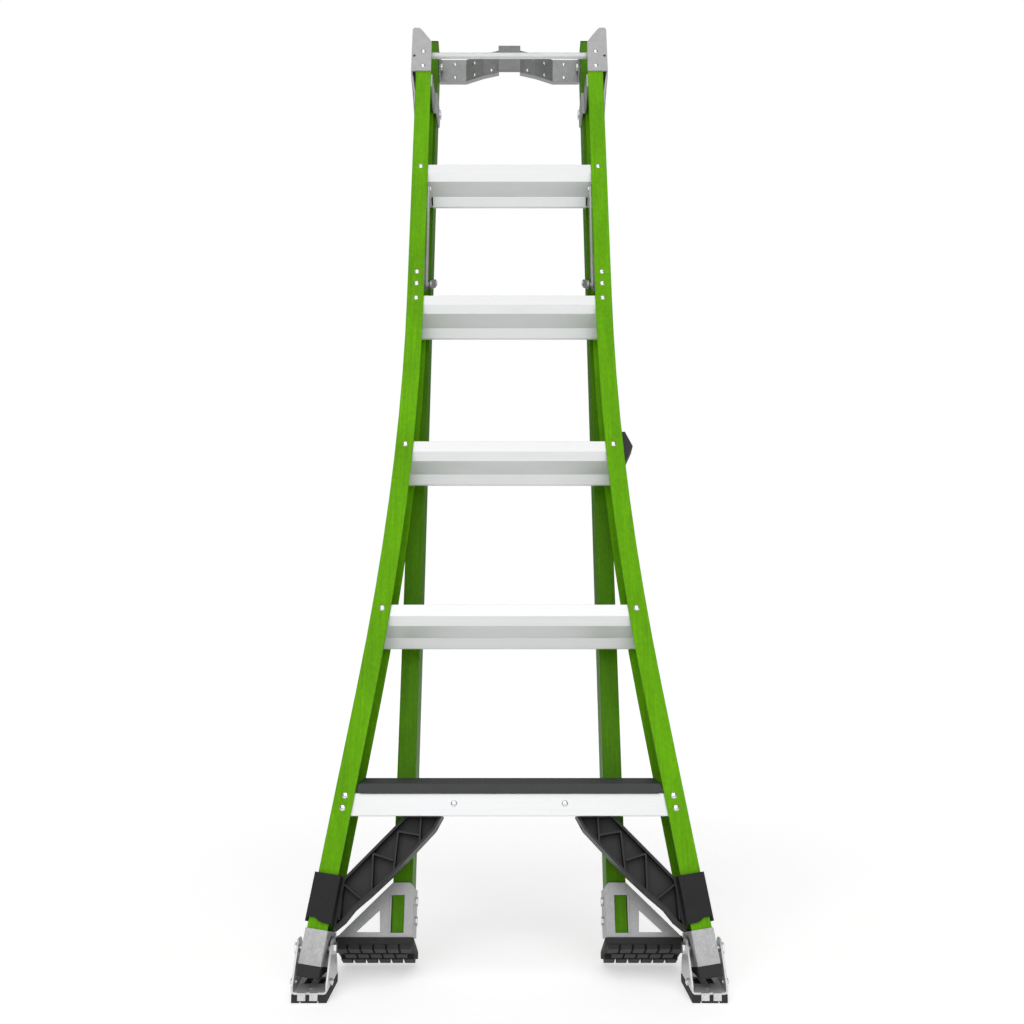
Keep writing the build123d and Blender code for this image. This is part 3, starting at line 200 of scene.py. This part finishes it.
# ---------------------------------------------------------------------------
# Rivets, bolts, pins, springs and spacers. Bright plated steel, turned or cold
# headed, so it is smoother than the sheet and a little brighter.
# ---------------------------------------------------------------------------
bright, tree, shader, place = surface("bright_plating", (0.72, 0.72, 0.73), 0.3, 0.9)
tooling = grain(tree, place, (700, 700, 700), UNTURNED, 3.0)
silver = ramp(tree, tooling, [(0.3, (0.58, 0.58, 0.6)), (0.7, (0.82, 0.82, 0.83))])
tree.links.new(silver, shader.inputs["Base Color"])
tree.links.new(span(tree, tooling, 0.2, 0.36), shader.inputs["Roughness"])
relief(tree, shader, tooling, 0.00005, 0.4, 0.0008)
give(bright, "rail_rivets", "apron_bolts", "tread_springs", "hinge_pins", "hinge_spacers")
give(bright, "stay_front_pins", "stay_rear_pins", "brace_screws", "shoe_pivot_bolts")
give(bright, "wall_rest_rivets", "wall_rest_pins")
give(bright, "rear_foot_bolts", "clip_stud", "shoe_studs_left", "shoe_studs_right")

# ---------------------------------------------------------------------------
# The springs. They stand on the beam under the tread cap; here they are only given a mesh of
# their own.
# ---------------------------------------------------------------------------
springs = nodes["tread_springs"]
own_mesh(springs)

# ---------------------------------------------------------------------------
# Rail sleeves, knee braces, the bottom tread, the transport clip and the rear
# caps. Glass filled nylon, moulded black with a fine spark-eroded grain.
# ---------------------------------------------------------------------------


def nylon(name, dark, light, gloss):
    """Moulded black between two tones."""
    material, tree, shader, place = surface(name, (light,) * 3, 0.5)
    pores = grain(tree, place, (1400, 1400, 1400), UNTURNED, 2.0)
    flow = grain(tree, place, (45, 45, 45), UNTURNED, 4.0)
    skin = joined(tree, pores, flow, 0.4)
    cool_dark = (dark, dark, dark * 1.05)
    cool_light = (light, light, light * 1.07)
    blacks = ramp(tree, skin, [(0.35, cool_dark), (0.65, cool_light)])
    tree.links.new(blacks, shader.inputs["Base Color"])
    tree.links.new(span(tree, skin, 0.42, 0.6), shader.inputs["Roughness"])
    shader.inputs["Specular IOR Level"].default_value = gloss
    relief(tree, shader, pores, 0.00012, 0.5, 0.001)
    return material


black = nylon("black_nylon", 0.009, 0.02, 0.4)
give(black, "knee_brace_left", "knee_brace_right", "transport_clip", "rear_top_caps")
give(nylon("sleeve_nylon", 0.006, 0.014, 0.25), "rail_sleeve_left", "rail_sleeve_right")
give(nylon("tread_nylon", 0.022, 0.042, 0.4), "bottom_tread")

# ---------------------------------------------------------------------------
# Rail ends and foot pads. Moulded rubber, dull, with a dusty bloom where it
# has stood on the ground.
# ---------------------------------------------------------------------------
rubber, tree, shader, place = surface("foot_rubber", (0.018, 0.018, 0.018), 0.8)
crumb = grain(tree, place, (800, 800, 800), UNTURNED, 3.0)
bloom = grain(tree, place, (60, 60, 60), UNTURNED, 5.0)
dust = joined(tree, crumb, bloom, 0.5)
soot = ramp(tree, dust, [(0.35, (0.011, 0.011, 0.011)), (0.65, (0.032, 0.031, 0.03))])
tree.links.new(soot, shader.inputs["Base Color"])
tree.links.new(span(tree, dust, 0.7, 0.92), shader.inputs["Roughness"])
relief(tree, shader, crumb, 0.0002, 0.6, 0.0012)
give(rubber, "rail_plugs", "shoe_pad_left", "shoe_pad_right")
give(rubber, "rear_foot_pad_left", "rear_foot_pad_right")

# ---------------------------------------------------------------------------
# The studio. A pale floor, lit a little from within, that runs out to a white
# surround; two broad suns, a softbox, and a camera low in front of the ladder.
# ---------------------------------------------------------------------------
FLOOR_HALF = 60.0
GLOW_FROM, GLOW_TO = 0.6, 3.5
GLOW_NEAR, GLOW_FAR = 0.5, 0.65
WHITE = (1, 1, 1, 1)
AIR_STRENGTH = 0.16
SOFTBOX_SIZE = (5.0, 2.6)
SOFTBOX_PLACE = (0, -4.6, 2.5)
SOFTBOX_TILT = 68
SOFTBOX_ENERGY = 85
ground = bmesh.new()
bmesh.ops.create_grid(ground, x_segments=1, y_segments=1, size=FLOOR_HALF)
floor_mesh = bpy.data.meshes.new("floor")
ground.to_mesh(floor_mesh)
ground.free()
floor = bpy.data.objects.new("floor", floor_mesh)
bpy.context.scene.collection.objects.link(floor)
paper, tree, shader, place = surface("floor_paper", (0.8, 0.8, 0.8), 0.9)
fibres = grain(tree, place, (30, 30, 30), UNTURNED, 3.0)
pale = ramp(tree, fibres, [(0.3, (0.79, 0.79, 0.79)), (0.7, (0.81, 0.81, 0.81))])
tree.links.new(pale, shader.inputs["Base Color"])
out_from_middle = tree.nodes.new("ShaderNodeVectorMath")
out_from_middle.operation = "LENGTH"
tree.links.new(place, out_from_middle.inputs[0])
glow = tree.nodes.new("ShaderNodeMapRange")
glow.inputs["From Min"].default_value = GLOW_FROM
glow.inputs["From Max"].default_value = GLOW_TO
glow.inputs["To Min"].default_value = GLOW_NEAR
glow.inputs["To Max"].default_value = GLOW_FAR
tree.links.new(out_from_middle.outputs["Value"], glow.inputs["Value"])
shader.inputs["Emission Color"].default_value = WHITE
tree.links.new(glow.outputs["Result"], shader.inputs["Emission Strength"])
floor_mesh.materials.append(paper)

world = bpy.data.worlds.new("surround")
world.use_nodes = True
bpy.context.scene.world = world
surround = world.node_tree
air = surround.nodes["Background"]
air.inputs["Color"].default_value = WHITE
air.inputs["Strength"].default_value = AIR_STRENGTH
seen = surround.nodes.new("ShaderNodeBackground")
seen.inputs["Color"].default_value = WHITE
seen.inputs["Strength"].default_value = 1.0
ray = surround.nodes.new("ShaderNodeLightPath")
either = surround.nodes.new("ShaderNodeMixShader")
surround.links.new(ray.outputs["Is Camera Ray"], either.inputs["Fac"])
surround.links.new(air.outputs["Background"], either.inputs[1])
surround.links.new(seen.outputs["Background"], either.inputs[2])
surround.links.new(either.outputs["Shader"], surround.nodes["World Output"].inputs["Surface"])


def sun(name, strength, spread, elevation, azimuth):
    """A broad parallel light from a height and a side, in degrees."""
    lamp = bpy.data.lights.new(name, "SUN")
    lamp.energy = strength
    lamp.angle = math.radians(spread)
    holder = bpy.data.objects.new(name, lamp)
    holder.rotation_euler = (math.radians(90 - elevation), 0, math.radians(azimuth))
    bpy.context.scene.collection.objects.link(holder)


sun("front_light", 0.95, 50, 56, -8)
sun("back_light", 0.4, 60, 50, 172)

softbox = bpy.data.lights.new("softbox", "AREA")
softbox.shape = "RECTANGLE"
softbox.size, softbox.size_y = SOFTBOX_SIZE
softbox.energy = SOFTBOX_ENERGY
softbox_holder = bpy.data.objects.new("softbox", softbox)
softbox_holder.location = SOFTBOX_PLACE
softbox_holder.rotation_euler = (math.radians(SOFTBOX_TILT), 0, 0)
softbox_holder.visible_camera = False
bpy.context.scene.collection.objects.link(softbox_holder)

CAMERA_BACK = 2.0748
CAMERA_HEIGHT = 0.520
CAMERA_TURN = 97
lens = bpy.data.cameras.new("camera")
lens.lens = 39.516
lens.sensor_width = 36
lens.shift_x = 0.0025
lens.clip_end = 200
camera = bpy.data.objects.new("camera", lens)
camera.location = (0, -CAMERA_BACK, CAMERA_HEIGHT)
camera.rotation_euler = (math.radians(CAMERA_TURN), 0, 0)
bpy.context.scene.collection.objects.link(camera)
bpy.context.scene.camera = camera
bpy.context.scene.view_settings.view_transform = "Standard"
